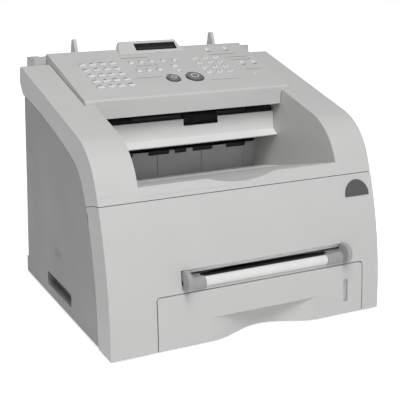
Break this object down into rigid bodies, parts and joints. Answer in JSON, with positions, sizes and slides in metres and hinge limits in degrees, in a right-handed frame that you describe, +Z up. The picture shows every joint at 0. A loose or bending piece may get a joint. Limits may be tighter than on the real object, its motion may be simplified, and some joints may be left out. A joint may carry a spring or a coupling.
{
  "type": "laser fax machine",
  "caption": "Desktop laser fax machine with curved cheeks, hinged control panel over a document scanner, front cover with manual feed, and a paper tray that slides out.",
  "frame": {"origin": "bottom centre of the whole box, on the floor under the feet", "axes": "+Z up, front face towards -Y, width along X"},
  "size_m": [0.396, 0.377, 0.333],
  "materials": {
    "shell_light": "fine-textured moulded ABS",
    "shell_grey": "fine-textured moulded ABS",
    "white_plastic": "smooth moulded ABS",
    "guide_grey": "moulded polyacetal",
    "dark_plastic": "moulded polycarbonate blend",
    "steel": "zinc-plated sheet and rod",
    "rubber": "matt roller rubber",
    "board": "coated fibreglass board",
    "clear_plastic": "clear polycarbonate",
    "drum_coating": "photoconductor coating"
  },
  "bodies": {
    "chassis": {"base_pan": "dark_plastic", "feet": "rubber", "left_frame": "steel", "right_frame": "steel", "cross_plate": "steel", "left_side_cover": "shell_grey", "right_side_cover": "shell_grey", "upper_cover": "shell_light", "document_chute": "white_plastic", "scan_base": "dark_plastic", "image_sensor": "dark_plastic", "document_feeder": "shell_grey", "rear_panel": "shell_grey", "ac_inlet": "dark_plastic", "rear_jacks": "dark_plastic", "laser_scanner": "dark_plastic", "toner_cartridge": "dark_plastic", "fuser_housing": "dark_plastic", "drive_unit": "dark_plastic", "main_board": "board", "power_supply": "board", "speaker": "dark_plastic"},
    "front_cover": {"front_cover": "shell_light", "feed_ledge": "white_plastic", "badge": "guide_grey"},
    "manual_guide_left": {"manual_guide_left": "guide_grey"},
    "manual_guide_right": {"manual_guide_right": "guide_grey"},
    "manual_pinion": {"manual_pinion": "white_plastic"},
    "paper_tray": {"tray_front": "shell_light", "tray_bin": "dark_plastic", "level_window": "clear_plastic"},
    "lift_plate": {"lift_plate": "steel"},
    "tray_guide_left": {"tray_guide_left": "guide_grey"},
    "tray_guide_right": {"tray_guide_right": "guide_grey"},
    "tray_pinion": {"tray_pinion": "white_plastic"},
    "tray_end_guide": {"tray_end_guide": "guide_grey"},
    "level_flag": {"level_flag": "dark_plastic"},
    "control_panel": {"panel_housing": "shell_light", "panel_base": "dark_plastic", "display_bezel": "shell_light", "display_window": "clear_plastic", "panel_board": "board"},
    "one_touch_keys": {"one_touch_keys": "white_plastic"},
    "number_keys": {"number_keys": "white_plastic"},
    "function_keys": {"function_keys": "white_plastic"},
    "start_key": {"start_key": "guide_grey"},
    "stop_key": {"stop_key": "guide_grey"},
    "document_guide_left": {"document_guide_left": "shell_grey"},
    "document_guide_right": {"document_guide_right": "shell_grey"},
    "document_pinion": {"document_pinion": "white_plastic"},
    "rear_door": {"rear_door": "shell_grey"},
    "power_switch": {"power_switch": "dark_plastic"},
    "pickup_roller": {"pickup_roller": "rubber"},
    "drum": {"drum": "drum_coating"},
    "transfer_roller": {"transfer_roller": "rubber"},
    "heat_roller": {"heat_roller": "steel"},
    "pressure_roller": {"pressure_roller": "rubber"},
    "print_exit_roller": {"print_exit_roller": "rubber"},
    "scan_feed_roller": {"scan_feed_roller": "rubber"},
    "document_exit_roller": {"document_exit_roller": "rubber"}
  },
  "joints": [
    {"name": "front_cover_hinge", "type": "hinge", "parent": "chassis", "child": "front_cover", "pos_m": [0, -0.1705, 0.016], "axis": [-1, 0, 0], "range_deg": [-80, 0]},
    {"name": "paper_tray_slide", "type": "slide", "parent": "chassis", "child": "paper_tray", "axis": [0, -1, 0], "range_m": [0, 0.19]},
    {"name": "lift_plate_hinge", "type": "hinge", "parent": "paper_tray", "child": "lift_plate", "pos_m": [0.018, 0.0255, 0.0129], "axis": [-1, 0, 0], "range_deg": [0, 9]},
    {"name": "tray_guides_slide", "type": "slide", "parent": "paper_tray", "child": "tray_guide_left", "axis": [1, 0, 0], "range_m": [0, 0.036]},
    {"name": "tray_guide_right_slide", "type": "slide", "parent": "paper_tray", "child": "tray_guide_right", "axis": [-1, 0, 0], "range_m": [0, 0.036]},
    {"name": "tray_pinion_turn", "type": "hinge", "parent": "paper_tray", "child": "tray_pinion", "pos_m": [0.018, -0.0595, 0.009], "axis": [0, 0, 1], "range_deg": [-300, 1]},
    {"name": "tray_end_guide_slide", "type": "slide", "parent": "paper_tray", "child": "tray_end_guide", "axis": [0, -1, 0], "range_m": [0, 0.06]},
    {"name": "level_flag_slide", "type": "slide", "parent": "paper_tray", "child": "level_flag", "axis": [0, 0, -1], "range_m": [0, 0.02]},
    {"name": "manual_guides_slide", "type": "slide", "parent": "front_cover", "child": "manual_guide_left", "axis": [1, 0, 0], "range_m": [0, 0.036]},
    {"name": "manual_guide_right_slide", "type": "slide", "parent": "front_cover", "child": "manual_guide_right", "axis": [-1, 0, 0], "range_m": [0, 0.036]},
    {"name": "manual_pinion_turn", "type": "hinge", "parent": "front_cover", "child": "manual_pinion", "pos_m": [0.022, -0.1435, 0.0895], "axis": [0, 0, 1], "range_deg": [-300, 1]},
    {"name": "control_panel_hinge", "type": "hinge", "parent": "chassis", "child": "control_panel", "pos_m": [0, 0.1605, 0.30949], "axis": [-1, 0, 0], "range_deg": [0, 40]},
    {"name": "one_touch_keys_press", "type": "slide", "parent": "control_panel", "child": "one_touch_keys", "axis": [0, 0.2487, -0.9686], "range_m": [0, 0.0012], "stiffness_N_per_m": 1000, "springref_m": -0.001},
    {"name": "number_keys_press", "type": "slide", "parent": "control_panel", "child": "number_keys", "axis": [0, 0.2487, -0.9686], "range_m": [0, 0.0012], "stiffness_N_per_m": 1000, "springref_m": -0.001},
    {"name": "function_keys_press", "type": "slide", "parent": "control_panel", "child": "function_keys", "axis": [0, 0.2487, -0.9686], "range_m": [0, 0.0012], "stiffness_N_per_m": 1000, "springref_m": -0.001},
    {"name": "start_key_press", "type": "slide", "parent": "control_panel", "child": "start_key", "axis": [0, 0.2487, -0.9686], "range_m": [0, 0.0012], "stiffness_N_per_m": 1000, "springref_m": -0.001},
    {"name": "stop_key_press", "type": "slide", "parent": "control_panel", "child": "stop_key", "axis": [0, 0.2487, -0.9686], "range_m": [0, 0.0012], "stiffness_N_per_m": 1000, "springref_m": -0.001},
    {"name": "document_guides_slide", "type": "slide", "parent": "chassis", "child": "document_guide_left", "axis": [1, 0, 0], "range_m": [0, 0.036]},
    {"name": "document_guide_right_slide", "type": "slide", "parent": "chassis", "child": "document_guide_right", "axis": [-1, 0, 0], "range_m": [0, 0.036]},
    {"name": "document_pinion_turn", "type": "hinge", "parent": "chassis", "child": "document_pinion", "pos_m": [0.0065, 0.1715, 0.294], "axis": [0, 0, 1], "range_deg": [-300, 1]},
    {"name": "rear_door_hinge", "type": "hinge", "parent": "chassis", "child": "rear_door", "pos_m": [0.018, 0.1835, 0.146], "axis": [-1, 0, 0], "range_deg": [0, 85]},
    {"name": "power_switch_rock", "type": "hinge", "parent": "chassis", "child": "power_switch", "pos_m": [-0.114, 0.1825, 0.045], "axis": [1, 0, 0], "range_deg": [0, 16]},
    {"name": "pickup_roller_turn", "type": "hinge", "parent": "chassis", "child": "pickup_roller", "pos_m": [0.018, -0.1045, 0.08], "axis": [1, 0, 0], "continuous": true},
    {"name": "drum_turn", "type": "hinge", "parent": "chassis", "child": "drum", "pos_m": [0.018, -0.0575, 0.099], "axis": [1, 0, 0], "continuous": true},
    {"name": "transfer_roller_turn", "type": "hinge", "parent": "chassis", "child": "transfer_roller", "pos_m": [0.018, -0.0575, 0.0792], "axis": [1, 0, 0], "continuous": true},
    {"name": "heat_roller_turn", "type": "hinge", "parent": "chassis", "child": "heat_roller", "pos_m": [0.018, 0.1065, 0.112], "axis": [1, 0, 0], "continuous": true},
    {"name": "pressure_roller_turn", "type": "hinge", "parent": "chassis", "child": "pressure_roller", "pos_m": [0.018, 0.1065, 0.0877], "axis": [1, 0, 0], "continuous": true},
    {"name": "print_exit_roller_turn", "type": "hinge", "parent": "chassis", "child": "print_exit_roller", "pos_m": [0.018, 0.0835, 0.19], "axis": [1, 0, 0], "continuous": true},
    {"name": "scan_feed_roller_turn", "type": "hinge", "parent": "chassis", "child": "scan_feed_roller", "pos_m": [0, 0.1245, 0.27735], "axis": [1, 0, 0], "continuous": true},
    {"name": "document_exit_roller_turn", "type": "hinge", "parent": "chassis", "child": "document_exit_roller", "pos_m": [0, 0.03737, 0.23846], "axis": [1, 0, 0], "continuous": true}
  ],
  "couplings": [
    {"joint": "tray_guide_right_slide", "follows": "tray_guides_slide", "ratio": 1},
    {"joint": "tray_pinion_turn", "follows": "tray_guides_slide", "rad_per_m": -125},
    {"joint": "manual_guide_right_slide", "follows": "manual_guides_slide", "ratio": 1},
    {"joint": "manual_pinion_turn", "follows": "manual_guides_slide", "rad_per_m": -125},
    {"joint": "document_guide_right_slide", "follows": "document_guides_slide", "ratio": 1},
    {"joint": "document_pinion_turn", "follows": "document_guides_slide", "rad_per_m": -125},
    {"joint": "transfer_roller_turn", "follows": "drum_turn", "ratio": -1.6},
    {"joint": "pressure_roller_turn", "follows": "heat_roller_turn", "ratio": -1.1818},
    {"joint": "print_exit_roller_turn", "follows": "heat_roller_turn", "ratio": 1.3},
    {"joint": "document_exit_roller_turn", "follows": "scan_feed_roller_turn", "ratio": 1}
  ]
}
